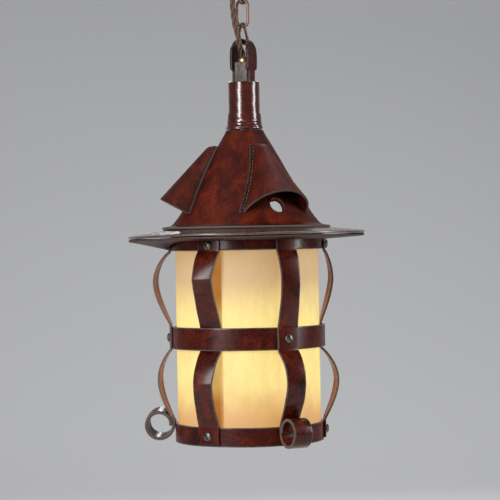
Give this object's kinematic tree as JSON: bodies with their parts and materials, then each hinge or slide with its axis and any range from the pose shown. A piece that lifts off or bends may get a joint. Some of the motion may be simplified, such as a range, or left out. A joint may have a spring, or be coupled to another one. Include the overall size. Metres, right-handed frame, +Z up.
{
  "type": "hanging lantern",
  "caption": "Leather pendant lantern with a hooded conical roof, flat brim, bowed straps with curled ends and a rolled parchment shade on a short chain.",
  "frame": {"origin": "middle of the ceiling plate's upper face, which lies on the ceiling", "axes": "+Z up along the lantern's axis, -Y towards the front, where a screwed strap faces the viewer"},
  "size_m": [0.2502, 0.2502, 0.545],
  "materials": {
    "roof_leather": "waxed",
    "dark_leather": "waxed",
    "neck_leather": "polished",
    "turned_wood": "stained",
    "black_iron": "blackened",
    "aged_brass": "aged",
    "steel": "dull",
    "parchment": "waxed",
    "porcelain": "glazed",
    "lit_glass": "frosted",
    "flex_fabric": "braided"
  },
  "bodies": {
    "ceiling_fitting": {"ceiling_plate": "black_iron", "ceiling_screw_1": "steel", "ceiling_screw_2": "steel", "canopy_cup": "aged_brass", "canopy_nut": "aged_brass", "canopy_bush": "aged_brass", "chain_hook": "black_iron", "flex_1": "flex_fabric"},
    "upper_link": {"chain_link_upper": "black_iron", "flex_2": "flex_fabric"},
    "lower_link": {"chain_link_lower": "black_iron", "flex_3": "flex_fabric"},
    "delta": {"delta_link": "black_iron", "flex_4": "flex_fabric"},
    "lantern": {"hanging_loop": "dark_leather", "loop_screw_1": "steel", "loop_screw_2": "steel", "cord_bush": "aged_brass", "neck_plug": "turned_wood", "neck_sleeve": "neck_leather", "neck_bead": "neck_leather", "roof_cone": "roof_leather", "vent_hood_1": "roof_leather", "vent_hood_2": "roof_leather", "vent_hood_3": "roof_leather", "brim_top_skin": "dark_leather", "brim_under_skin": "dark_leather", "stem": "steel", "plug_nut": "steel", "spider_nut_top": "steel", "spider_nut_bottom": "steel", "roof_spider": "black_iron", "roof_hoop": "black_iron", "lower_hoop": "black_iron", "top_ring": "dark_leather", "mid_band": "dark_leather", "bottom_ring": "dark_leather", "strap_a_1": "dark_leather", "strap_a_2": "dark_leather", "strap_a_3": "dark_leather", "strap_b_1": "dark_leather", "strap_b_2": "dark_leather", "strap_b_3": "dark_leather", "screw_top_1": "steel", "screw_top_2": "steel", "screw_top_3": "steel", "screw_mid_1": "steel", "screw_mid_2": "steel", "screw_mid_3": "steel", "screw_low_1": "steel", "screw_low_2": "steel", "screw_low_3": "steel", "shade": "parchment", "holder_cap": "aged_brass", "holder_body": "aged_brass", "holder_core": "porcelain", "bulb_glass": "lit_glass", "bulb_cap": "steel", "lead": "flex_fabric"}
  },
  "joints": [
    {"name": "upper_link_swing", "type": "hinge", "parent": "ceiling_fitting", "child": "upper_link", "pos_m": [0, 0, -0.0582], "axis": [1, 0, 0], "range_deg": [-30, 30], "deforming": ["flex_1"]},
    {"name": "lower_link_swing", "type": "hinge", "parent": "upper_link", "child": "lower_link", "pos_m": [0, 0, -0.0827], "axis": [0, 1, 0], "range_deg": [-30, 30], "deforming": ["flex_2"]},
    {"name": "delta_swing", "type": "hinge", "parent": "lower_link", "child": "delta", "pos_m": [0, 0, -0.1075], "axis": [1, 0, 0], "range_deg": [-30, 30], "deforming": ["flex_3"]},
    {"name": "lantern_swing", "type": "hinge", "parent": "delta", "child": "lantern", "pos_m": [0, 0, -0.1253], "axis": [0, 1, 0], "range_deg": [-25, 25], "deforming": ["flex_4"]}
  ]
}
